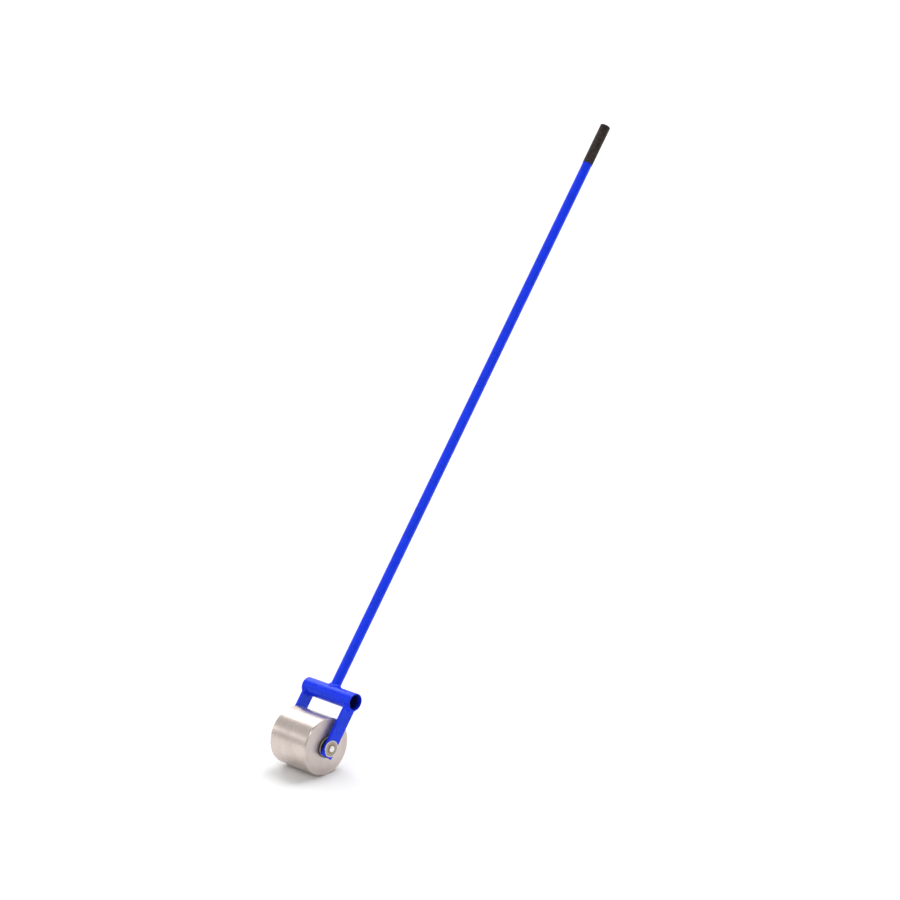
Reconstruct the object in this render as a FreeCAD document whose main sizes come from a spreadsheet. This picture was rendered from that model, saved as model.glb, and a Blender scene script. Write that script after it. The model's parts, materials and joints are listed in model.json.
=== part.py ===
"""Stand-up weighted seam roller: a turned steel drum on ball bearings in a welded tube fork.

Row frame: millimetres, +Z up, floor at z = 0, origin on the floor under the middle of the drum.
The axle lies along X. The fork and the handle lean towards +Y by dims.handle_lean degrees.
Fork frame: origin on the axle at the middle of the drum, Z up the handle, X along the axle.
"""
import FreeCAD, Part
import math
import os
import Sketcher

DIMENSIONS = {
    "drum_diameter": 127.0,        # outside of the steel drum
    "drum_width": 108.0,           # along the axle
    "drum_edge": 1.2,              # chamfer on both rims
    "drum_bore": 30.0,             # through hole between the two bearing seats
    "handle_lean": 38.0,           # degrees between the handle and the vertical
    "arm_gap": 7.3,                # drum face to inner face of an arm
    "arm_thickness": 6.35,         # flat bar
    "arm_width": 32.5,
    "arm_tail": 20.5,              # length of an arm below the axle
    "arm_corner": 2.0,             # rounding of the two bottom corners
    "tube_gap": 28.6,              # drum surface to underside of the cross tube
    "cross_diameter": 38.1,
    "cross_wall": 1.9,
    "cross_overhang": 6.35,        # cross tube past the outer face of an arm
    "handle_diameter": 22.2,
    "handle_wall": 1.65,
    "handle_length": 1449.0,       # cross tube axis to the upper end of the handle tube
    "grip_length": 102.0,          # whole grip, closed end included
    "grip_wall": 0.7,
    "grip_end": 2.0,               # thickness of the closed end
    "grip_rounding": 1.0,          # outer edge of the closed end
    "axle_diameter": 12.7,
    "axle_clearance": 0.05,        # between the axle and every hole on it, radial
    "head_spread": 0.7,            # how far the upset ends of the axle stand over the hole, radial
    "head_height": 3.0,
    "head_rounding": 2.0,
    "washer_diameter": 36.0,
    "washer_thickness": 2.4,
    "spacer_diameter": 22.0,       # thin spacer between a bearing and its arm
    "sleeve_diameter": 20.0,       # long sleeve on the axle between the bearings
    "bearing_diameter": 47.0,
    "bearing_width": 14.0,
    "bearing_stand": 5.7,          # how far a bearing stands out of the drum face
    "bearing_edge": 0.6,           # chamfer of the bearing rings
    "outer_race_wall": 2.7,        # outer ring under the ball groove
    "ball_diameter": 7.938,
    "ball_count": 8,
    "ball_clearance": 0.08,        # ball to raceway
    "shoulder": 3.0,               # pitch circle to the edge of either race, radial
    "cage_wall": 2.2,
    "cage_gap": 0.4,               # cage to seal, each side
    "cage_clearance": 0.12,        # ball to cage pocket
    "seal_thickness": 1.2,
    "seal_recess": 0.4,            # below the face of the bearing
    "seal_clearance": 0.25,        # seal lip to inner race
    "seal_seat_wall": 1.9,         # outer ring outside the seat of a seal
    "weld_leg": 4.5,
}

# Heights and stations worked out from the driving dimensions, as spreadsheet expressions.
AXLE_HEIGHT = "dims.drum_diameter / 2"
AXLE_RADIUS = "dims.axle_diameter / 2"
HOLE_RADIUS = "(dims.axle_diameter / 2 + dims.axle_clearance)"
CROSS_RADIUS = "dims.cross_diameter / 2"
CROSS_AXIS = "(dims.drum_diameter / 2 + dims.tube_gap + dims.cross_diameter / 2)"
ARM_INNER = "(dims.drum_width / 2 + dims.arm_gap)"
ARM_OUTER = f"({ARM_INNER} + dims.arm_thickness)"
CROSS_HALF = f"({ARM_OUTER} + dims.cross_overhang)"
BEARING_MIDDLE = "(dims.drum_width / 2 + dims.bearing_stand - dims.bearing_width / 2)"
SEAT_DEPTH = "(dims.bearing_width - dims.bearing_stand)"
SPACER_LENGTH = "(dims.arm_gap - dims.bearing_stand)"
PITCH_RADIUS = ("(dims.bearing_diameter / 2 - dims.outer_race_wall"
                " - dims.ball_clearance - dims.ball_diameter / 2)")
SEAL_SEAT = "(dims.bearing_diameter / 2 - dims.seal_seat_wall)"
SIDES = {"left": -1, "right": 1}
CREST_SHARE = 0.85     # how much of the collar's leg the chamfer of its crest takes
NEAR = 0.01            # two lengths closer than this are the same, mm
RIM_POINTS = 9         # points looked at along an edge of the collar

document = FreeCAD.newDocument("seam_roller")
dims = document.addObject("Spreadsheet::Sheet", "dims")


def fill_sheet():
    """Write one row per driving dimension: its name, and its value under that name as alias."""
    for row, (name, size) in enumerate(DIMENSIONS.items(), start=1):
        dims.set(f"A{row}", name)
        dims.set(f"B{row}", str(size))
        dims.setAlias(f"B{row}", name)
    document.recompute()


def number(expression):
    """The value that an expression over the sheet has now."""
    return float(dims.evalExpression(str(expression)))


def fork_place(along="0", up="0"):
    """Placement expression: a point of the fork frame, along the axle and up the handle."""
    rise = f"({up}) * cos(dims.handle_lean * 1deg)"
    reach = f"({up}) * sin(dims.handle_lean * 1deg)"
    turn = "rotation(vector(1; 0; 0); -dims.handle_lean)"
    return f"placement(vector({along}; {reach}; {AXLE_HEIGHT} + {rise}); {turn})"


def new_body(label, place):
    """An empty body in the fork frame, named after its sub-part."""
    body = document.addObject("PartDesign::Body", label)
    body.Label = label
    body.setExpression("Placement", place)
    return body


def plane_sketch(body, name, role):
    """A sketch on one of the body's own origin planes."""
    sketch = body.newObject("Sketcher::SketchObject", name)
    plane = [item for item in body.Origin.OriginFeatures if item.Role == role][0]
    sketch.AttachmentSupport = [(plane, "")]
    sketch.MapMode = "FlatFace"
    return sketch


def tie(sketch, kind, point, expression):
    """Hold one coordinate of a corner at an expression, or on the axis where it is zero."""
    if expression == "0":
        axis = -1 if kind == "DistanceY" else -2
        sketch.addConstraint(Sketcher.Constraint("PointOnObject", *point, axis))
        return
    held = sketch.addConstraint(Sketcher.Constraint(kind, -1, 1, *point, number(expression)))
    sketch.setExpression(f"Constraints[{held}]", expression)


def add_outline(sketch, corners):
    """A closed outline of straight lines whose corners are pairs of expressions."""
    points = [FreeCAD.Vector(number(across), number(up), 0) for across, up in corners]
    count = len(corners)
    for index in range(count):
        line = Part.LineSegment(points[index], points[(index + 1) % count])
        sketch.addGeometry(line, False)
    for index, (across, up) in enumerate(corners):
        following = (index + 1) % count
        sketch.addConstraint(Sketcher.Constraint("Coincident", index, 2, following, 1))
        tie(sketch, "DistanceX", (index, 1), across)
        tie(sketch, "DistanceY", (index, 1), up)


def add_circle(sketch, across, up, radius):
    """A circle whose centre and radius are expressions."""
    centre = FreeCAD.Vector(number(across), number(up), 0)
    shape = Part.Circle(centre, FreeCAD.Vector(0, 0, 1), number(radius))
    index = sketch.addGeometry(shape, False)
    held = sketch.addConstraint(Sketcher.Constraint("Radius", index, number(radius)))
    sketch.setExpression(f"Constraints[{held}]", radius)
    tie(sketch, "DistanceX", (index, 3), across)
    tie(sketch, "DistanceY", (index, 3), up)


def revolve(body, corners, axis="H_Axis"):
    """Turn an outline in the XZ plane about X (H_Axis) or about Z (V_Axis)."""
    sketch = plane_sketch(body, f"{body.Name}_outline", "XZ_Plane")
    add_outline(sketch, corners)
    turned = body.newObject("PartDesign::Revolution", f"{body.Name}_turned")
    turned.Profile = sketch
    turned.ReferenceAxis = (sketch, [axis])
    turned.Angle = 360
    document.recompute()
    return turned


def ring(label, place, inner, outer, width):
    """A plain ring about X, centred on its own middle plane."""
    body = new_body(label, place)
    corners = [(f"-{width} / 2", inner), (f"{width} / 2", inner),
               (f"{width} / 2", outer), (f"-{width} / 2", outer)]
    revolve(body, corners)
    return body


def round_edges(body, radius, wanted):
    """Fillet every edge of the tip that the test picks out."""
    tip = body.Tip
    names = [f"Edge{index}" for index, edge in enumerate(tip.Shape.Edges, start=1) if wanted(edge)]
    fillet = body.newObject("PartDesign::Fillet", f"{body.Name}_rounding")
    fillet.Base = (tip, names)
    fillet.setExpression("Radius", radius)
    document.recompute()


def cut_through(body, name, across, up, radius):
    """Cut a round hole along X through the whole body."""
    sketch = plane_sketch(body, f"{body.Name}_{name}", "YZ_Plane")
    add_circle(sketch, across, up, radius)
    pocket = body.newObject("PartDesign::Pocket", f"{body.Name}_{name}_cut")
    pocket.Profile = sketch
    pocket.Type = "ThroughAll"
    pocket.Midplane = True
    document.recompute()


def edge_height(edge):
    """Middle of an edge, up the body's own Z."""
    return edge.BoundBox.Center.z


def make_drum():
    """Solid steel drum with a seat for a bearing in each face."""
    half = "dims.drum_width / 2"
    outer = "dims.drum_diameter / 2"
    seat = "dims.bearing_diameter / 2"
    bore = "dims.drum_bore / 2"
    right = [(half, seat), (half, f"{outer} - dims.drum_edge"), (f"{half} - dims.drum_edge", outer)]
    step = [(f"{half} - {SEAT_DEPTH}", bore), (f"{half} - {SEAT_DEPTH}", seat)]
    left = [(f"-({across})", up) for across, up in reversed(step + right)]
    revolve(new_body("drum", fork_place()), step + right + left)


def make_cross_tube():
    """Open round tube over the drum, which both arms and the handle are welded to."""
    inner = f"{CROSS_RADIUS} - dims.cross_wall"
    ring("cross_tube", fork_place(up=CROSS_AXIS), inner, CROSS_RADIUS, f"(2 * {CROSS_HALF})")


def make_arm(side, sign):
    """Flat bar from below the axle up to the cross tube, shaped to the tube's underside."""
    middle = f"{sign} * ({ARM_INNER} + dims.arm_thickness / 2)"
    body = new_body(f"{side}_arm", fork_place(along=middle))
    sketch = plane_sketch(body, f"{side}_arm_outline", "YZ_Plane")
    half = "dims.arm_width / 2"
    add_outline(sketch, [(f"-{half}", "-dims.arm_tail"), (half, "-dims.arm_tail"),
                         (half, CROSS_AXIS), (f"-{half}", CROSS_AXIS)])
    pad = body.newObject("PartDesign::Pad", f"{side}_arm_bar")
    pad.Profile = sketch
    pad.Midplane = True
    pad.setExpression("Length", "dims.arm_thickness")
    document.recompute()
    tail = -number("dims.arm_tail")

    def is_bottom_corner(edge):
        return edge.BoundBox.YLength < NEAR and abs(edge_height(edge) - tail) < NEAR

    round_edges(body, "dims.arm_corner", is_bottom_corner)
    cut_through(body, "axle_hole", "0", "0", HOLE_RADIUS)
    cut_through(body, "tube_seat", "0", CROSS_AXIS, CROSS_RADIUS)


def make_handle_tube():
    """Long straight tube, its foot shaped to stand on the cross tube."""
    outer = "dims.handle_diameter / 2"
    inner = f"{outer} - dims.handle_wall"
    body = new_body("handle_tube", fork_place(up=CROSS_AXIS))
    foot = f"{CROSS_RADIUS} / 2"
    revolve(body, [(inner, foot), (outer, foot), (outer, "dims.handle_length"),
                   (inner, "dims.handle_length")], "V_Axis")
    cut_through(body, "foot", "0", "0", CROSS_RADIUS)


def make_grip():
    """Thin soft cap over the end of the handle, closed at the top."""
    tube = "dims.handle_diameter / 2"
    outer = f"{tube} + dims.grip_wall"
    top = "dims.handle_length + dims.grip_end"
    mouth = f"{top} - dims.grip_length"
    body = new_body("grip", fork_place(up=CROSS_AXIS))
    revolve(body, [("0", "dims.handle_length"), (tube, "dims.handle_length"), (tube, mouth),
                   (outer, mouth), (outer, top), ("0", top)], "V_Axis")
    highest = number(top)
    round_edges(body, "dims.grip_rounding", lambda edge: abs(edge_height(edge) - highest) < NEAR)


def make_axle():
    """Steel pin through arms, bearings and sleeve, its ends upset over the washers."""
    shank = f"{ARM_OUTER} + dims.washer_thickness"
    tip = f"{shank} + dims.head_height"
    head = f"{AXLE_RADIUS} + dims.head_spread"
    body = new_body("axle_pin", fork_place())
    revolve(body, [(f"-({tip})", "0"), (tip, "0"), (tip, head), (shank, head),
                   (shank, AXLE_RADIUS), (f"-({shank})", AXLE_RADIUS), (f"-({shank})", head),
                   (f"-({tip})", head)])
    farthest = number(tip)

    def is_head_rim(edge):
        return abs(abs(edge.BoundBox.Center.x) - farthest) < NEAR

    round_edges(body, "dims.head_rounding", is_head_rim)


def make_axle_stack():
    """Washers outside the arms, thin spacers inside them and the sleeve between the bearings."""
    for side, sign in SIDES.items():
        outside = f"{sign} * ({ARM_OUTER} + dims.washer_thickness / 2)"
        ring(f"{side}_washer", fork_place(along=outside), HOLE_RADIUS,
             "dims.washer_diameter / 2", "dims.washer_thickness")
        inside = f"{sign} * ({ARM_INNER} - {SPACER_LENGTH} / 2)"
        ring(f"{side}_spacer", fork_place(along=inside), HOLE_RADIUS,
             "dims.spacer_diameter / 2", SPACER_LENGTH)
    between = f"(2 * {BEARING_MIDDLE} - dims.bearing_width)"
    ring("centre_sleeve", fork_place(), HOLE_RADIUS, "dims.sleeve_diameter / 2", between)


def cut_raceway(body):
    """Ball groove of a race, turned about the axle."""
    sketch = plane_sketch(body, f"{body.Name}_groove", "XZ_Plane")
    add_circle(sketch, "0", PITCH_RADIUS, "dims.ball_diameter / 2 + dims.ball_clearance")
    groove = body.newObject("PartDesign::Groove", f"{body.Name}_raceway")
    groove.Profile = sketch
    groove.ReferenceAxis = (sketch, ["H_Axis"])
    groove.Angle = 360
    document.recompute()


def make_races(side, place):
    """Outer ring pressed into the drum and inner ring clamped on the axle."""
    half = "dims.bearing_width / 2"
    edge = "dims.bearing_edge"
    outside = "dims.bearing_diameter / 2"
    outer = new_body(f"{side}_outer_race", place)
    lip = f"{PITCH_RADIUS} + dims.shoulder"
    step = f"{half} - dims.seal_recess - dims.seal_thickness"
    facing = [(step, lip), (step, SEAL_SEAT), (half, SEAL_SEAT), (half, f"{outside} - {edge}"),
              (f"{half} - {edge}", outside)]
    behind = [(f"-({across})", up) for across, up in reversed(facing)]
    revolve(outer, facing + behind)
    cut_raceway(outer)
    shoulder = f"{PITCH_RADIUS} - dims.shoulder"
    cut_raceway(ring(f"{side}_inner_race", place, HOLE_RADIUS, shoulder, "dims.bearing_width"))


def ball_at(body, kind, radius):
    """One ball, or the room for one, on the pitch circle, repeated round the axle."""
    sphere = body.newObject(f"PartDesign::{kind}Sphere", f"{body.Name}_sphere")
    sphere.setExpression("Radius", radius)
    sphere.setExpression("Placement.Base.z", PITCH_RADIUS)
    document.recompute()
    pattern = body.newObject("PartDesign::PolarPattern", f"{body.Name}_pattern")
    pattern.Originals = [sphere]
    axis = [item for item in body.Origin.OriginFeatures if item.Role == "X_Axis"][0]
    pattern.Axis = (axis, [""])
    pattern.Angle = 360
    pattern.setExpression("Occurrences", "dims.ball_count")
    body.Tip = pattern
    document.recompute()


def make_ball_train(side, place):
    """The balls of one bearing and the cage that keeps them apart."""
    balls = new_body(f"{side}_balls", place)
    balls.AllowCompound = True
    ball_at(balls, "Additive", "dims.ball_diameter / 2")
    inner = f"{PITCH_RADIUS} - dims.cage_wall / 2"
    outer = f"{PITCH_RADIUS} + dims.cage_wall / 2"
    room = "(dims.bearing_width - 2 * (dims.seal_recess + dims.seal_thickness + dims.cage_gap))"
    cage = ring(f"{side}_cage", place, inner, outer, room)
    ball_at(cage, "Subtractive", "dims.ball_diameter / 2 + dims.cage_clearance")


def make_seals(side, sign):
    """Two rubber rings that close one bearing, each in its seat in the outer race."""
    inner = f"{PITCH_RADIUS} - dims.shoulder + dims.seal_clearance"
    reach = "(dims.bearing_width / 2 - dims.seal_recess - dims.seal_thickness / 2)"
    for name, facing in (("outer", 1), ("inner", -1)):
        middle = f"{sign} * ({BEARING_MIDDLE} + {facing} * {reach})"
        ring(f"{side}_{name}_seal", fork_place(along=middle), inner, SEAL_SEAT,
             "dims.seal_thickness")


def make_bearings():
    """A sealed ball bearing at each end of the drum."""
    for side, sign in SIDES.items():
        place = fork_place(along=f"{sign} * {BEARING_MIDDLE}")
        make_races(side, place)
        make_ball_train(side, place)
        make_seals(side, sign)


def make_arm_weld(side, sign):
    """Fillet welds along both faces of an arm, round the underside of the cross tube."""
    beads = []
    half_arc = "asin(min(1; dims.arm_width / dims.cross_diameter))"
    for name, face, way in (("inside", ARM_INNER, -1), ("outside", ARM_OUTER, 1)):
        bead = new_body(f"{side}_weld_{name}", fork_place(up=CROSS_AXIS))
        sketch = plane_sketch(bead, f"{bead.Name}_outline", "XZ_Plane")
        corner = f"{sign} * {face}"
        toe = f"{sign} * ({face} + {way} * dims.weld_leg)"
        add_outline(sketch, [(corner, f"-{CROSS_RADIUS}"), (toe, f"-{CROSS_RADIUS}"),
                             (corner, f"-{CROSS_RADIUS} - dims.weld_leg")])
        turned = bead.newObject("PartDesign::Revolution", f"{bead.Name}_turned")
        turned.Profile = sketch
        turned.ReferenceAxis = (sketch, ["H_Axis"])
        turned.Midplane = True
        turned.setExpression("Angle", f"2 * {half_arc}")
        document.recompute()
        beads.append(bead)
    both = document.addObject("Part::Compound", f"{side}_arm_weld")
    both.Links = beads
    document.recompute()


def cylinder(name, radius, height, place):
    """A plain cylinder along its own Z, for the booleans."""
    solid = document.addObject("Part::Cylinder", name)
    solid.setExpression("Radius", radius)
    solid.setExpression("Height", height)
    solid.setExpression("Placement", place)
    return solid


def make_handle_weld():
    """Weld collar where the handle stands on the cross tube, following the saddle."""
    length = "2 * dims.cross_diameter"
    upright = fork_place(up=CROSS_AXIS)
    tilt = "rotation(vector(0; 1; 0); 90)"
    rise = f"{CROSS_AXIS} * cos(dims.handle_lean * 1deg)"
    reach = f"{CROSS_AXIS} * sin(dims.handle_lean * 1deg)"
    lying = f"placement(vector(-dims.cross_diameter; {reach}; {AXLE_HEIGHT} + {rise}); {tilt})"
    post = "dims.handle_diameter / 2"
    round_post = cylinder("collar_post", f"{post} + dims.weld_leg", length, upright)
    round_bar = cylinder("collar_bar", f"{CROSS_RADIUS} + dims.weld_leg", length, lying)
    collar = document.addObject("Part::MultiCommon", "collar")
    collar.Shapes = [round_post, round_bar]
    handle = cylinder("handle_room", post, length, upright)
    tube = cylinder("tube_room", CROSS_RADIUS, length, lying)
    hollow = document.addObject("Part::Cut", "collar_on_handle")
    hollow.Base = collar
    hollow.Tool = handle
    seat = document.addObject("Part::Cut", "collar_on_tube")
    seat.Base = hollow
    seat.Tool = tube
    document.recompute()
    reach_out = number(f"{post} + dims.weld_leg")
    edges = enumerate(seat.Shape.Edges, start=1)
    crest = [index for index, edge in edges if is_crest(edge, reach_out)]
    weld = document.addObject("Part::Chamfer", "handle_weld")
    weld.Base = seat
    size = number("dims.weld_leg") * CREST_SHARE
    weld.Edges = [(index, size, size) for index in crest]
    document.recompute()


def is_crest(edge, reach_out):
    """Whether an edge is the outer upper rim of the collar."""
    lean = FreeCAD.Rotation(FreeCAD.Vector(1, 0, 0), -number("dims.handle_lean"))
    axle = FreeCAD.Vector(0, 0, number(AXLE_HEIGHT))
    radii = []
    heights = []
    for point in edge.discretize(RIM_POINTS):
        local = lean.inverted().multVec(point - axle)
        radii.append(math.hypot(local.x, local.y))
        height = local.z - number(CROSS_AXIS)
        heights.append(math.hypot(local.y, height))
    on_outside = min(radii) > reach_out - NEAR
    on_top = min(heights) > number(f"{CROSS_RADIUS} + dims.weld_leg") - NEAR
    return on_outside and on_top


def sub_parts():
    """Every object that is a piece of the roller, by its label."""
    helpers = ("_weld_inside", "_weld_outside")
    bodies = [item for item in document.Objects if item.TypeId == "PartDesign::Body"]
    pieces = [item for item in bodies if not item.Label.endswith(helpers)]
    for side in SIDES:
        pieces.append(document.getObject(f"{side}_arm_weld"))
    pieces.append(document.getObject("handle_weld"))
    return pieces


def check_and_write():
    """Stop on any failed object, then write one file per sub-part."""
    document.recompute()
    failed = [item.Name for item in document.Objects if {"Invalid", "Error"} & set(item.State)]
    if failed:
        raise RuntimeError(f"failed objects: {failed}")
    pieces = sub_parts()
    for piece in pieces:
        if piece.Shape.isNull() or not piece.Shape.isValid():
            raise RuntimeError(f"bad shape: {piece.Label}")
    os.makedirs("parts", exist_ok=True)
    for piece in pieces:
        piece.Shape.exportStep(f"parts/{piece.Label}.step")
        print(f"{piece.Label}: {piece.Shape.Volume:.1f} mm3, {len(piece.Shape.Solids)} solid(s)")


fill_sheet()
make_drum()
make_cross_tube()
for arm_side, arm_sign in SIDES.items():
    make_arm(arm_side, arm_sign)
    make_arm_weld(arm_side, arm_sign)
make_handle_tube()
make_handle_weld()
make_grip()
make_axle()
make_axle_stack()
make_bearings()
check_and_write()
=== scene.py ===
"""Stand-up seam roller: finishes for the solid model, rippled weld beads, studio and camera."""
import json
import math

import bmesh
import bpy
from bpy.props import FloatProperty, FloatVectorProperty, PointerProperty
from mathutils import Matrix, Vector


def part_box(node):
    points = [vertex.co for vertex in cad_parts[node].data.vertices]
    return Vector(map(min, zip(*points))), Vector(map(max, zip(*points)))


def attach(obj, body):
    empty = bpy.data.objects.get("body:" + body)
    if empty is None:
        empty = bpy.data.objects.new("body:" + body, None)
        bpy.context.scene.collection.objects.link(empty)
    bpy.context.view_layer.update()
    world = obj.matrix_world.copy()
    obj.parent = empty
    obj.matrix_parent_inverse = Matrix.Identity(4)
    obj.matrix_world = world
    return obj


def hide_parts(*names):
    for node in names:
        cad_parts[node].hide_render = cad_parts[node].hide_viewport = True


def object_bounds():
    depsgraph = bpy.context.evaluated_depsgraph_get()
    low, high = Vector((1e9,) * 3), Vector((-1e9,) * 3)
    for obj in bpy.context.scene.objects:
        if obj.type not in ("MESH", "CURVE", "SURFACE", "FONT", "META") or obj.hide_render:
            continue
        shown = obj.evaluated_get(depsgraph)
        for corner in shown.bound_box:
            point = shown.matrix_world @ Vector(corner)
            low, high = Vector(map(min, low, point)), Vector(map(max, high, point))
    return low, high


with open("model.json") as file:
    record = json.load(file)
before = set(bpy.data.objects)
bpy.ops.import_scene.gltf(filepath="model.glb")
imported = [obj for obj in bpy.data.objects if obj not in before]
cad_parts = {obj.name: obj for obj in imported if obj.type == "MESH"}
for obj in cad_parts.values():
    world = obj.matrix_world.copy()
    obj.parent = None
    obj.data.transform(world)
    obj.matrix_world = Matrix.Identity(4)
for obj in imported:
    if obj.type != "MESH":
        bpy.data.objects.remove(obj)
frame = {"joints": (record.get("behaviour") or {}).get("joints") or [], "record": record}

bl_info = {
    "name": "Seam roller finish",
    "version": (1, 0, 0),
    "blender": (4, 5, 0),
    "location": "3D View > Sidebar > Seam Roller",
    "description": "Finishes, weld beads, studio and camera for a stand-up seam roller",
    "category": "Object",
}

CAD_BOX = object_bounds()
MM = 0.001

MOUNTS = {mount["name"]: mount for mount in frame["record"]["mounts"]}
SPIN = next(joint for joint in frame["joints"] if joint["name"] == "drum_spin")

# The fork frame: the axle, the way up the handle and the way back from the front of the fork.
AXLE = Vector(SPIN["pos_m"])
ALONG = Vector((1.0, 0.0, 0.0))
UP_HANDLE = Vector(MOUNTS["grip"]["axis"])
BACK = UP_HANDLE.cross(ALONG)
CROSS_CENTRE = Vector(MOUNTS["cross_tube_bore"]["pos_m"])
BORE_RADIUS = MOUNTS["cross_tube_bore"]["dims"]["r_mm"] * MM


def span(node, axis):
    """Length of a node's box along one row axis."""
    low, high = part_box(node)
    return high[axis] - low[axis]


def width_across(node):
    """Width of a node from the front of the fork to its back."""
    places = [vertex.co.dot(BACK) for vertex in bpy.data.objects[node].data.vertices]
    return max(places) - min(places)


ARM_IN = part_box("right_arm")[0][0]
ARM_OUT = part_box("right_arm")[1][0]
ARM_WIDTH = width_across("right_arm")
CROSS_HALF = span("cross_tube", 0) / 2
CROSS_RADIUS = span("cross_tube", 1) / 2
HANDLE_RADIUS = span("handle_tube", 0) / 2
DRUM_HALF = span("drum", 0) / 2
RACE_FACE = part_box("right_outer_race")[1][0]
WASHER_RADIUS = span("right_washer", 2) / 2
SPACER_RADIUS = span("right_spacer", 2) / 2
GRIP_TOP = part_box("grip")[1][2]

LAMP_DISTANCE = 3.0
FILM_WIDTH = 36.0         # millimetres
VIEW_LIMIT = 100.0        # metres

# How light the surround is, and how far it dims.
SKY_LEVEL = 0.78
STRIP_LEVEL = 1.7
HORIZON_LEVEL = 1.3
RIGHT_DIMMING = 0.8
FRONT_DIMMING = 0.6

# Which mix sockets carry the factor, the two colours and the result.
MIX_FACTOR, MIX_FIRST, MIX_SECOND, MIX_RESULT = 0, 6, 7, 2

# How a weld bead is cut and shaped.
BEAD_STEPS = 8            # points across the crown
BEAD_ROOT = 0.06          # how far the bead reaches into its corner, as a share of the leg
BEAD_HOLLOW = 0.2         # how far the crown dips between its two legs, as a share of the leg
RIPPLE_LEAN = 0.6         # below 1 the ripples rise quickly and fall slowly
ARM_BEAD_CUTS = 90
HANDLE_BEAD_CUTS = 200
BEAD_END = 0.35           # size of an open bead at its very end
BEAD_TAPER = 9.0          # how quickly it grows to full size from there

# Lamps: name, direction to the lamp, strength, width in degrees.
LAMPS = (
    ("back_lamp", (-0.68, 0.265, 0.684), 0.62, 33.0),
    ("top_lamp", (0.05, 0.45, 0.89), 1.6, 40.0),
    ("front_lamp", (0.0, -0.75, 0.66), 0.5, 40.0),
    ("streak_lamp", (0.75, -0.32, 0.55), 0.3, 12.0),
)


# ---------------------------------------------------------------- shader expressions

class Signal:
    """A number that changes over a surface. Sums, differences and products add Math nodes."""

    def __init__(self, nodes, socket):
        self.nodes = nodes
        self.socket = socket

    def _math(self, operation, first, second):
        return self.nodes.node("ShaderNodeMath", {"operation": operation}, {0: first, 1: second})

    def __add__(self, other):
        return self._math("ADD", self, other)

    __radd__ = __add__

    def __sub__(self, other):
        return self._math("SUBTRACT", self, other)

    def __rsub__(self, other):
        return self._math("SUBTRACT", other, self)

    def __mul__(self, other):
        return self._math("MULTIPLY", self, other)

    __rmul__ = __mul__

    def __pow__(self, other):
        return self._math("POWER", self, other)

    def __abs__(self):
        return self._math("ABSOLUTE", self, 0.0)

    def over(self, limit):
        """1 where the number is over the limit, 0 elsewhere."""
        return self._math("GREATER_THAN", self, limit)


class NodeTree:
    """Shader nodes written as expressions."""

    def __init__(self, tree):
        self.tree = tree
        self.tree.nodes.clear()

    def node(self, kind, settings=None, inputs=None, output=0):
        """Any node: its settings first, then its sockets' values or links."""
        made = self.tree.nodes.new(kind)
        for name, value in (settings or {}).items():
            setattr(made, name, value)
        for key, value in (inputs or {}).items():
            if isinstance(value, Signal):
                self.tree.links.new(value.socket, made.inputs[key])
            else:
                made.inputs[key].default_value = value
        return Signal(self, made.outputs[output]) if made.outputs else None

    def split(self, place):
        """A place or a direction as its three numbers."""
        first = self.node("ShaderNodeSeparateXYZ", {}, {0: place})
        return [Signal(self, socket) for socket in first.socket.node.outputs]

    def step(self, signal, low, high):
        """Smooth rise from 0 at low to 1 at high."""
        return self.node("ShaderNodeMapRange", {"interpolation_type": "SMOOTHSTEP"},
                         {"Value": signal, "From Min": low, "From Max": high})

    def band(self, signal, low, middle, high):
        """Smooth rise from low to 1 at the middle, and back to 0 at high."""
        return self.step(signal, low, middle) - self.step(signal, middle, high)


class Finish(NodeTree):
    """One material, built node by node."""

    def __init__(self, name):
        self.material = bpy.data.materials.new(name)
        self.material.use_nodes = True
        super().__init__(self.material.node_tree)
        self.place = self.node("ShaderNodeTexCoord", output="Object")
        self.along, self.across, self.up = self.split(self.place)

    def noise(self, scale, detail=2.0, roughness=0.5):
        """Cloudy noise from 0 to 1, with scale in cells per metre."""
        sockets = {"Vector": self.place, "Scale": scale, "Detail": detail, "Roughness": roughness}
        return self.node("ShaderNodeTexNoise", {}, sockets)

    def lines(self, signal, per_metre, detail=3.0):
        """Fine parallel lines: noise that changes only with one number."""
        return self.node("ShaderNodeTexNoise", {"noise_dimensions": "1D"},
                         {"W": signal, "Scale": per_metre, "Detail": detail})

    def between(self, factor, first, second):
        """Mix of two colours."""
        sockets = {MIX_FACTOR: factor, MIX_FIRST: first, MIX_SECOND: second}
        return self.node("ShaderNodeMix", {"data_type": "RGBA"}, sockets, MIX_RESULT)

    def from_line(self, centre):
        """Distance from a line along the row's X through one point."""
        across = self.across - centre.y
        up = self.up - centre.z
        return (across * across + up * up) ** 0.5

    def bump(self, height, depth, strength=1.0):
        """A Bump node, with depth in metres."""
        sockets = {"Height": height, "Distance": depth, "Strength": strength}
        return self.node("ShaderNodeBump", {}, sockets)

    def shade(self, sockets):
        """The surface shader and the output."""
        surface = self.node("ShaderNodeBsdfPrincipled", {}, sockets)
        self.node("ShaderNodeOutputMaterial", {}, {"Surface": surface})
        return self.material


def shaded(colour, factor):
    """A colour made lighter or darker, with its alpha."""
    return (*[min(1.0, part * factor) for part in colour[:3]], 1.0)


# ---------------------------------------------------------------- finishes

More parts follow.
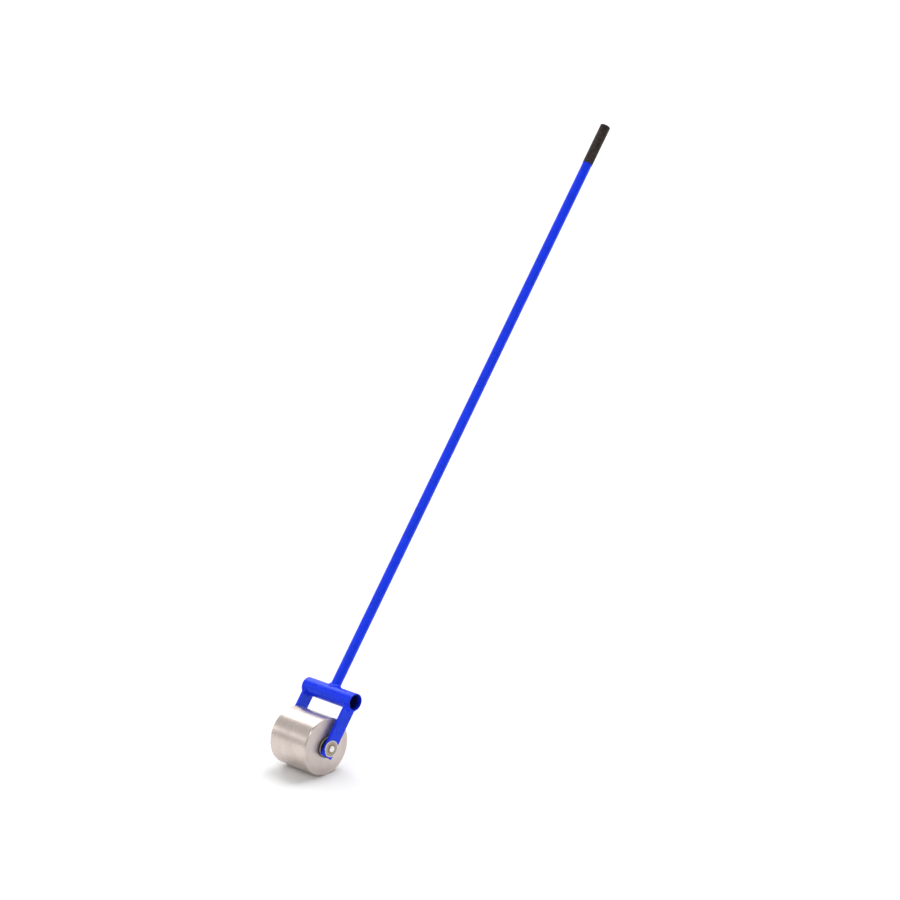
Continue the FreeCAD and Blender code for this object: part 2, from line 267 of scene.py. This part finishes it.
def paint_finish(settings):
    """Sprayed enamel with orange peel and dull specks, with painted shade darkening it inside the
    tube.
    """
    finish = Finish("blue_enamel")
    peel = finish.noise(650.0, 2.0)
    cloud = finish.noise(40.0, 4.0, 0.6)
    sag = finish.noise(60.0, 4.0)
    specks = finish.step(finish.noise(900.0, 1.0), 0.66, 0.74)
    scuffs = finish.step(finish.noise(260.0, 5.0, 0.7), 0.58, 0.7)
    tone = finish.between(finish.step(cloud, 0.3, 0.7), shaded(settings.paint, 0.88),
                          shaded(settings.paint, 1.08))
    scuffed = finish.between(scuffs * 0.18, tone, shaded(settings.paint, 0.6))
    speckled = finish.between(specks * 0.3, scuffed, shaded(settings.paint, 0.45))
    # Painted shade: deep in the cross tube the enamel darkens to near-black navy, from 1 mm to 20
    # mm in, and turns rougher.
    inside = 1 - finish.step(finish.from_line(CROSS_CENTRE), BORE_RADIUS, BORE_RADIUS + 0.2 * MM)
    depth = CROSS_HALF - abs(finish.along)
    bore_shade = inside * finish.step(depth + sag * (6 * MM), 1 * MM, 20 * MM)
    colour = finish.between(bore_shade, speckled, (*settings.bore_shade_colour, 1.0))
    roughness = 0.24 + cloud * 0.08 + scuffs * 0.16 + specks * 0.2 + bore_shade * 0.3
    normal = finish.bump(peel * 0.8 + sag, 0.16 * MM, 0.4)
    return finish.shade({"Base Color": colour, "Roughness": roughness, "Normal": normal,
                         "IOR": 1.38, "Specular Tint": (0.2, 0.85, 1.0, 1.0)})


def turned_steel(name, colour, half_width, per_metre, rough, stain):
    """Steel off the lathe: rings round the rim and on the faces, with oil stains and spots."""
    finish = Finish(name)
    on_face = abs(finish.along).over(half_width)
    station = on_face * finish.from_line(AXLE) + (1 - on_face) * finish.along
    rings = finish.lines(station, per_metre)
    passes = finish.lines(station, per_metre * 0.04, 2.0)
    cloud = finish.noise(22.0, 5.0, 0.6)
    spots = finish.step(finish.noise(240.0, 3.0), 0.64, 0.72)
    tone = finish.between(rings * 0.5 + passes * 0.5, shaded(colour, 0.84), shaded(colour, 1.14))
    stained = finish.between(finish.step(cloud, 0.4, 0.7) * stain, tone, shaded(colour, 0.72))
    dotted = finish.between(spots * 0.35 * stain, stained, shaded(colour, 0.45))
    roughness = rough + on_face * 0.16 + rings * 0.06 + cloud * 0.16 + spots * 0.04
    normal = finish.bump(rings + passes * 0.5, 0.02 * MM, 0.5)
    return finish.shade({"Base Color": dotted, "Metallic": 0.92, "Roughness": roughness,
                         "Normal": normal})


def ring_finish(settings):
    """Bearing ring: painted shade, near-black, on its side by the drum, ground bright towards its
    face.
    """
    finish = Finish("bearing_ring")
    # Painted shade: the ring's side towards the drum takes the seals' black and no metal; only the
    # part near its face is ground steel.
    bright = finish.step(abs(finish.along), RACE_FACE - 3 * MM, RACE_FACE - 1.5 * MM)
    rings = finish.lines(finish.from_line(AXLE), 5200.0)
    ground = finish.between(rings, shaded(settings.bearing, 0.7), shaded(settings.bearing, 1.1))
    colour = finish.between(bright, (*settings.seal_black_and_ring_shade, 1.0), ground)
    roughness = 0.5 - bright * 0.16 + rings * 0.08
    normal = finish.bump(rings, 0.02 * MM, 0.4)
    return finish.shade({"Base Color": colour, "Metallic": bright * 0.9, "Roughness": roughness,
                         "Normal": normal})


def zinc_finish(settings):
    """Dull zinc plate, with a painted highlight round the rim of a washer, and a brown film with
    painted shade round the axle.
    """
    finish = Finish("zinc_plate")
    radius = finish.from_line(AXLE)
    # Painted highlight: the outer 2 mm of a washer is painted pale, all the way round.
    rim = finish.step(radius, WASHER_RADIUS - 2.2 * MM, WASHER_RADIUS - 0.4 * MM)
    # Brown film and painted shade: the zinc darkens to brown round the axle, where the pin stands
    # out of the washers.
    brown = 1 - finish.step(radius, SPACER_RADIUS - 3 * MM, SPACER_RADIUS + 2 * MM)
    spangle = finish.noise(700.0, 3.0)
    rings = finish.lines(radius, 1800.0)
    tone = finish.between(spangle * 0.7 + rings * 0.3, shaded(settings.zinc, 0.72),
                          shaded(settings.zinc, 1.12))
    rim_highlight = finish.between(rim * 0.9, tone, (*settings.zinc_rim_highlight, 1.0))
    colour = finish.between(brown * (0.3 + spangle * 0.5), rim_highlight, (*settings.brown_film_and_pin_shade, 1.0))
    roughness = 0.38 + spangle * 0.2 - rim * 0.08
    normal = finish.bump(spangle + rings * 0.5, 0.03 * MM, 0.5)
    return finish.shade({"Base Color": colour, "Metallic": 0.85, "Roughness": roughness,
                         "Normal": normal})


def axle_finish(settings):
    """Bright drawn bar with hammer marks on its upset ends."""
    finish = Finish("bright_bar")
    marks = finish.noise(420.0, 2.0)
    grain = finish.noise(2400.0, 2.0)
    colour = finish.between(grain, shaded(settings.axle, 0.85), shaded(settings.axle, 1.05))
    normal = finish.bump(marks + grain * 0.2, 0.15 * MM, 0.35)
    return finish.shade({"Base Color": colour, "Metallic": 0.8, "Roughness": 0.24 + marks * 0.14,
                         "Normal": normal})


def seal_finish(settings):
    """Moulded black rubber with fine concentric ribs."""
    finish = Finish("seal_rubber")
    ribs = finish.lines(finish.from_line(AXLE), 1500.0, 1.0)
    dust = finish.noise(500.0, 4.0)
    colour = finish.between(dust * 0.5, shaded(settings.seal_black_and_ring_shade, 1.0), shaded(settings.seal_black_and_ring_shade, 2.2))
    normal = finish.bump(ribs + dust * 0.3, 0.1 * MM, 0.5)
    return finish.shade({"Base Color": colour, "Roughness": 0.5 + dust * 0.2, "Normal": normal})


def grip_finish(settings):
    """Dipped vinyl: a soft satin skin with a leathery grain and handling marks."""
    finish = Finish("dipped_vinyl")
    grain = finish.noise(1100.0, 3.0)
    folds = finish.noise(180.0, 3.0)
    cloud = finish.noise(170.0, 4.0, 0.7)
    mottled = finish.between(finish.step(cloud, 0.34, 0.66), shaded(settings.grip, 0.35),
                             shaded(settings.grip, 2.0))
    end = finish.step(finish.up, GRIP_TOP - 14 * MM, GRIP_TOP - 4 * MM)
    colour = finish.between(end * 0.7, mottled, shaded(settings.grip, 0.15))
    roughness = 0.46 + grain * 0.14 + cloud * 0.12
    normal = finish.bump(grain * 0.5 + folds, 0.18 * MM, 0.45)
    return finish.shade({"Base Color": colour, "Roughness": roughness, "Normal": normal,
                         "IOR": 1.36})


def floor_finish(settings):
    """Matt pale floor."""
    finish = Finish("pale_floor")
    cloud = finish.noise(3.0, 2.0)
    colour = finish.between(cloud, shaded(settings.floor, 0.99), shaded(settings.floor, 1.0))
    return finish.shade({"Base Color": colour, "Roughness": 0.85})


def dress(material, *nodes):
    """Give the solid model's nodes one finish in every slot."""
    for node in nodes:
        mesh = bpy.data.objects[node].data
        if not mesh.materials:
            mesh.materials.append(material)
        for index in range(len(mesh.materials)):
            mesh.materials[index] = material


# ---------------------------------------------------------------- weld beads

def bead_section(root, first, second, leg):
    """One cut through a fillet bead: a crowned face between two surfaces, closed at the root."""
    points = [root - (first + second) * (leg * BEAD_ROOT)]
    for index in range(BEAD_STEPS + 1):
        turn = index / BEAD_STEPS * math.pi / 2
        crown = (1 - BEAD_HOLLOW) + BEAD_HOLLOW * abs(math.cos(2 * turn))
        points.append(root + (first * math.cos(turn) + second * math.sin(turn)) * (leg * crown))
    return points


def ripple(distance, pitch):
    """Height of the weld's ripples along a bead: a quick rise and a slow fall in each pitch."""
    phase = (distance / pitch) % 1.0
    return math.sin(math.pi * phase ** RIPPLE_LEAN)


def bead_object(name, paths, closed, settings):
    """Skin one or more beads. Each path is a list of (root, first side, second side, size)."""
    mesh = bmesh.new()
    for path in paths:
        rings = []
        travelled = 0.0
        for index, (root, first, second, size) in enumerate(path):
            if index:
                travelled += (root - path[index - 1][0]).length
            swell = 1.0 + settings.ripple_height * (ripple(travelled, settings.ripple_pitch) - 0.5)
            leg = settings.weld_leg * size * swell
            points = bead_section(root, first, second, leg)
            rings.append([mesh.verts.new(point) for point in points])
        count = len(rings[0])
        pairs = list(zip(rings, rings[1:]))
        if closed:
            pairs.append((rings[-1], rings[0]))
        for ring, following in pairs:
            for corner in range(count):
                after = (corner + 1) % count
                mesh.faces.new((ring[corner], ring[after], following[after], following[corner]))
        if not closed:
            mesh.faces.new(reversed(rings[0]))
            mesh.faces.new(rings[-1])
    bmesh.ops.recalc_face_normals(mesh, faces=mesh.faces)
    for face in mesh.faces:
        face.smooth = True
    data = bpy.data.meshes.new(name)
    mesh.to_mesh(data)
    mesh.free()
    piece = bpy.data.objects.new(name, data)
    bpy.context.collection.objects.link(piece)
    return piece


def arm_bead_path(face, way, half_arc):
    """Round the cross tube's underside, against one face of an arm, thin at both ends."""
    path = []
    for index in range(ARM_BEAD_CUTS + 1):
        share = index / ARM_BEAD_CUTS
        turn = (2 * share - 1) * half_arc
        outward = BACK * math.sin(turn) - UP_HANDLE * math.cos(turn)
        root = CROSS_CENTRE + outward * CROSS_RADIUS + ALONG * face
        size = min(1.0, BEAD_END + BEAD_TAPER * min(share, 1 - share))
        path.append((root, ALONG * way, outward, size))
    return path


def handle_bead_path():
    """Round the foot of the handle, along the saddle where it stands on the cross tube."""
    path = []
    for index in range(HANDLE_BEAD_CUTS):
        turn = 2 * math.pi * index / HANDLE_BEAD_CUTS
        away = ALONG * math.cos(turn) + BACK * math.sin(turn)
        side = HANDLE_RADIUS * math.sin(turn)
        height = math.sqrt(CROSS_RADIUS ** 2 - side ** 2)
        root = CROSS_CENTRE + away * HANDLE_RADIUS + UP_HANDLE * height
        normal = (BACK * side + UP_HANDLE * height) / CROSS_RADIUS
        along_tube = (away - normal * away.dot(normal)).normalized()
        path.append((root, along_tube, UP_HANDLE, 1.0))
    return path


# ---------------------------------------------------------------- settings

class RollerFinishSettings(bpy.types.PropertyGroup):
    """Colours of the roller's finishes."""
    paint: FloatVectorProperty(name="Paint", description="Enamel on the fork and the handle",
                               subtype="COLOR", default=(0.011, 0.030, 0.88))
    # Painted shade: the near-black navy that darkens the inside of the cross tube.
    bore_shade_colour: FloatVectorProperty(name="Tube inside", subtype="COLOR",
                                     description="Overspray and bare steel inside the cross tube",
                                     default=(0.004, 0.008, 0.13))
    steel: FloatVectorProperty(name="Drum steel", description="Turned steel of the drum",
                               subtype="COLOR", default=(0.66, 0.575, 0.53))
    zinc: FloatVectorProperty(name="Zinc", description="Plate on the washers",
                              subtype="COLOR", default=(0.46, 0.39, 0.29))
    # Painted highlight on the washers' rims.
    zinc_rim_highlight: FloatVectorProperty(name="Worn zinc", description="Bright rim of the washers",
                                   subtype="COLOR", default=(0.82, 0.80, 0.82))
    # Brown film, and painted shade round the pin, on the washers by the axle.
    brown_film_and_pin_shade: FloatVectorProperty(name="Grime", description="Brown film on the washers by the axle",
                               subtype="COLOR", default=(0.16, 0.11, 0.07))
    axle: FloatVectorProperty(name="Axle", description="Bright bar of the axle pin",
                              subtype="COLOR", default=(0.86, 0.86, 0.86))
    bearing: FloatVectorProperty(name="Bearing", description="Ground face of the bearing rings",
                                 subtype="COLOR", default=(0.42, 0.35, 0.25))
    # Black of the seals, also used as painted shade on the bearing rings' sides by the drum.
    seal_black_and_ring_shade: FloatVectorProperty(name="Seal", description="Rubber of the bearing seals",
                                subtype="COLOR", default=(0.010, 0.010, 0.011))
    grip: FloatVectorProperty(name="Grip", description="Vinyl of the grip",
                              subtype="COLOR", default=(0.024, 0.015, 0.012))
    floor: FloatVectorProperty(name="Floor", description="Pale floor",
                               subtype="COLOR", default=(0.95, 0.95, 0.95))


class RollerWeldSettings(bpy.types.PropertyGroup):
    """Sizes of the weld beads."""
    weld_leg: FloatProperty(name="Leg", description="Leg of every fillet weld",
                            default=4.3 * MM, unit="LENGTH")
    ripple_pitch: FloatProperty(name="Ripple pitch", description="Distance between two ripples",
                                default=2.1 * MM, unit="LENGTH")
    ripple_height: FloatProperty(name="Ripple height", description="Swell of the bead, as a share",
                                 default=0.13, subtype="FACTOR")


class RollerStageSettings(bpy.types.PropertyGroup):
    """Camera and lights."""
    azimuth: FloatProperty(name="Azimuth", description="Camera direction round the roller",
                           default=math.radians(43.45), subtype="ANGLE")
    elevation: FloatProperty(name="Elevation", description="Camera direction above the floor",
                             default=math.radians(15.0), subtype="ANGLE")
    distance: FloatProperty(name="Distance", description="Camera to the middle of the roller",
                            default=5.166, unit="LENGTH")
    aim_right: FloatProperty(name="Aim right", description="Camera's aim right of the middle",
                             default=-0.0086, unit="LENGTH")
    aim_up: FloatProperty(name="Aim up", description="Camera's aim above the middle",
                          default=-0.0279, unit="LENGTH")
    lens: FloatProperty(name="Lens", description="Focal length in millimetres",
                        default=93.0, unit="CAMERA")
    ambient: FloatProperty(name="Ambient", description="Strength of the surround", default=1.0)
    floor_size: FloatProperty(name="Floor size", description="Side of the floor",
                              default=120.0, unit="LENGTH")


# ---------------------------------------------------------------- operators

class ROLLER_OT_frame_paint(bpy.types.Operator):
    """Paint the fork's bars and tubes"""
    bl_idname = "seam_roller.frame_paint"
    bl_label = "Paint the frame"

    def execute(self, context):
        material = paint_finish(context.scene.roller_finish)
        dress(material, "cross_tube", "left_arm", "right_arm", "handle_tube",
              "handle_weld", "left_arm_weld", "right_arm_weld")
        return {"FINISHED"}


class ROLLER_OT_drum(bpy.types.Operator):
    """Finish the drum as turned steel"""
    bl_idname = "seam_roller.drum"
    bl_label = "Finish the drum"

    def execute(self, context):
        steel = context.scene.roller_finish.steel
        turned = turned_steel("drum_steel", steel, half_width=DRUM_HALF - 0.2 * MM,
                              per_metre=2600.0, rough=0.17, stain=0.45)
        dress(turned, "drum")
        return {"FINISHED"}


class ROLLER_OT_bearings(bpy.types.Operator):
    """Finish the bearings' rings, balls, cages and seals"""
    bl_idname = "seam_roller.bearings"
    bl_label = "Finish the bearings"

    def execute(self, context):
        settings = context.scene.roller_finish
        ring = ring_finish(settings)
        bright = turned_steel("ground_steel", settings.axle, half_width=RACE_FACE,
                              per_metre=6000.0, rough=0.2, stain=0.1)
        seal = seal_finish(settings)
        for side in ("left", "right"):
            dress(ring, f"{side}_outer_race")
            dress(bright, f"{side}_inner_race", f"{side}_balls", f"{side}_cage")
            dress(seal, f"{side}_outer_seal", f"{side}_inner_seal")
        return {"FINISHED"}


class ROLLER_OT_axle(bpy.types.Operator):
    """Finish the axle pin and everything clamped on it"""
    bl_idname = "seam_roller.axle"
    bl_label = "Finish the axle"

    def execute(self, context):
        settings = context.scene.roller_finish
        dress(axle_finish(settings), "axle_pin")
        dress(zinc_finish(settings), "left_washer", "right_washer", "left_spacer",
              "right_spacer", "centre_sleeve")
        return {"FINISHED"}


class ROLLER_OT_grip(bpy.types.Operator):
    """Finish the vinyl grip"""
    bl_idname = "seam_roller.grip"
    bl_label = "Finish the grip"

    def execute(self, context):
        dress(grip_finish(context.scene.roller_finish), "grip")
        return {"FINISHED"}


class ROLLER_OT_welds(bpy.types.Operator):
    """Lay rippled weld beads in place of the plain ones"""
    bl_idname = "seam_roller.welds"
    bl_label = "Lay the weld beads"

    def execute(self, context):
        settings = context.scene.roller_weld
        paint = bpy.data.materials["blue_enamel"]
        half_arc = math.asin(min(1.0, ARM_WIDTH / 2 / CROSS_RADIUS))
        for side, sign in (("left", -1), ("right", 1)):
            paths = [arm_bead_path(sign * ARM_IN, -sign, half_arc),
                     arm_bead_path(sign * ARM_OUT, sign, half_arc)]
            self.finish_bead(bead_object(f"{side}_arm_bead", paths, False, settings),
                             paint, f"{side}_arm_weld")
        bead = bead_object("handle_bead", [handle_bead_path()], True, settings)
        self.finish_bead(bead, paint, "handle_weld")
        return {"FINISHED"}

    @staticmethod
    def finish_bead(piece, paint, node):
        """Paint a bead, fix it to the frame and let it stand for its node."""
        piece.data.materials.append(paint)
        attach(piece, "frame")
        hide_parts(node)


class ROLLER_OT_stage(bpy.types.Operator):
    """Set up the floor, the lights and the camera"""
    bl_idname = "seam_roller.stage"
    bl_label = "Set the stage"

    def execute(self, context):
        settings = context.scene.roller_stage
        self.add_floor(context, settings)
        self.add_lights(context, settings)
        self.add_camera(context, settings)
        context.scene.view_settings.view_transform = "Standard"
        return {"FINISHED"}

    def add_floor(self, context, settings):
        """One large pale floor."""
        half = settings.floor_size / 2
        data = bpy.data.meshes.new("floor")
        corners = [(-half, -half, 0), (half, -half, 0), (half, half, 0), (-half, half, 0)]
        data.from_pydata(corners, [], [(0, 1, 2, 3)])
        floor = bpy.data.objects.new("floor", data)
        context.collection.objects.link(floor)
        data.materials.append(floor_finish(context.scene.roller_finish))

    def add_lights(self, context, settings):
        """The pale surround and the soft lamps."""
        context.scene.world = self.surround(settings.ambient)
        for name, towards, strength, width in LAMPS:
            self.soft_lamp(context, name, Vector(towards), strength, width)

    def surround(self, strength):
        """Pale surround: a bright strip on the left, dimmer right and front, a white horizon."""
        world = bpy.data.worlds.new("surround")
        world.use_nodes = True
        sky = NodeTree(world.node_tree)
        sideways, depth, height = sky.split(sky.node("ShaderNodeTexCoord", output="Generated"))
        # Height runs from 0 at the horizon to 1 overhead.
        left = 1 - sky.step(sideways, -0.5, -0.2)
        strip = sky.band(height, 0.24, 0.36, 0.48) * left * STRIP_LEVEL
        right = sky.step(sideways, -0.1, 0.8) * sky.step(height, 0.02, 0.25)
        front = sky.step(0 - depth, 0.2, 0.9) * sky.step(sideways, -0.55, -0.2)
        dimmed = (SKY_LEVEL + strip) * (1 - right * RIGHT_DIMMING) * (1 - front * FRONT_DIMMING)
        glow = 1 - sky.step(height, 0.03, 0.07)
        level = (dimmed * (1 - glow) + glow * HORIZON_LEVEL) * strength
        backdrop = sky.node("ShaderNodeBackground", {}, {"Strength": level})
        sky.node("ShaderNodeOutputWorld", {}, {"Surface": backdrop})
        return world

    def soft_lamp(self, context, name, towards, strength, width):
        """A far soft lamp in one direction, as wide as the given angle in degrees."""
        light = bpy.data.lights.new(name, "SUN")
        light.energy = strength
        light.angle = math.radians(width)
        lamp = bpy.data.objects.new(name, light)
        lamp.location = towards * LAMP_DISTANCE
        lamp.rotation_mode = "QUATERNION"
        lamp.rotation_quaternion = (-towards).to_track_quat("-Z", "Y")
        context.collection.objects.link(lamp)

    def add_camera(self, context, settings):
        """A long lens, level, a little above the drum and to its right."""
        low, high = CAD_BOX
        turn, rise = settings.azimuth, settings.elevation
        back = Vector((math.sin(turn) * math.cos(rise), -math.cos(turn) * math.cos(rise),
                       math.sin(rise)))
        right = Vector((math.cos(turn), math.sin(turn), 0.0))
        up = back.cross(right)
        aim = (low + high) / 2 + right * settings.aim_right + up * settings.aim_up
        data = bpy.data.cameras.new("camera")
        data.lens = settings.lens
        data.sensor_width = FILM_WIDTH
        camera = bpy.data.objects.new("camera", data)
        camera.location = aim + back * settings.distance
        camera.rotation_mode = "QUATERNION"
        camera.rotation_quaternion = (-back).to_track_quat("-Z", "Y")
        data.clip_end = VIEW_LIMIT
        context.collection.objects.link(camera)
        context.scene.camera = camera


class ROLLER_PT_panel(bpy.types.Panel):
    """Settings and steps of the seam roller"""
    bl_idname = "ROLLER_PT_panel"
    bl_label = "Seam Roller"
    bl_space_type = "VIEW_3D"
    bl_region_type = "UI"
    bl_category = "Seam Roller"

    def draw(self, context):
        layout = self.layout
        for group in SETTINGS:
            settings = getattr(context.scene, group)
            box = layout.box()
            for name in type(settings).__annotations__:
                box.prop(settings, name)
        for operator in OPERATORS:
            layout.operator(operator.bl_idname)


SETTINGS = {
    "roller_finish": RollerFinishSettings,
    "roller_weld": RollerWeldSettings,
    "roller_stage": RollerStageSettings,
}
OPERATORS = (
    ROLLER_OT_frame_paint,
    ROLLER_OT_drum,
    ROLLER_OT_bearings,
    ROLLER_OT_axle,
    ROLLER_OT_grip,
    ROLLER_OT_welds,
    ROLLER_OT_stage,
)


def register():
    """Register the classes and hang the settings on the scene."""
    for group in SETTINGS.values():
        bpy.utils.register_class(group)
    for operator in OPERATORS:
        bpy.utils.register_class(operator)
    bpy.utils.register_class(ROLLER_PT_panel)
    for name, group in SETTINGS.items():
        setattr(bpy.types.Scene, name, PointerProperty(type=group))


def unregister():
    """Undo register."""
    for name in SETTINGS:
        delattr(bpy.types.Scene, name)
    bpy.utils.unregister_class(ROLLER_PT_panel)
    for operator in reversed(OPERATORS):
        bpy.utils.unregister_class(operator)
    for group in reversed(list(SETTINGS.values())):
        bpy.utils.unregister_class(group)


def main():
    """Run every step in order."""
    register()
    for operator in OPERATORS:
        group, name = operator.bl_idname.split(".")
        getattr(getattr(bpy.ops, group), name)()


if __name__ == "__main__":
    main()
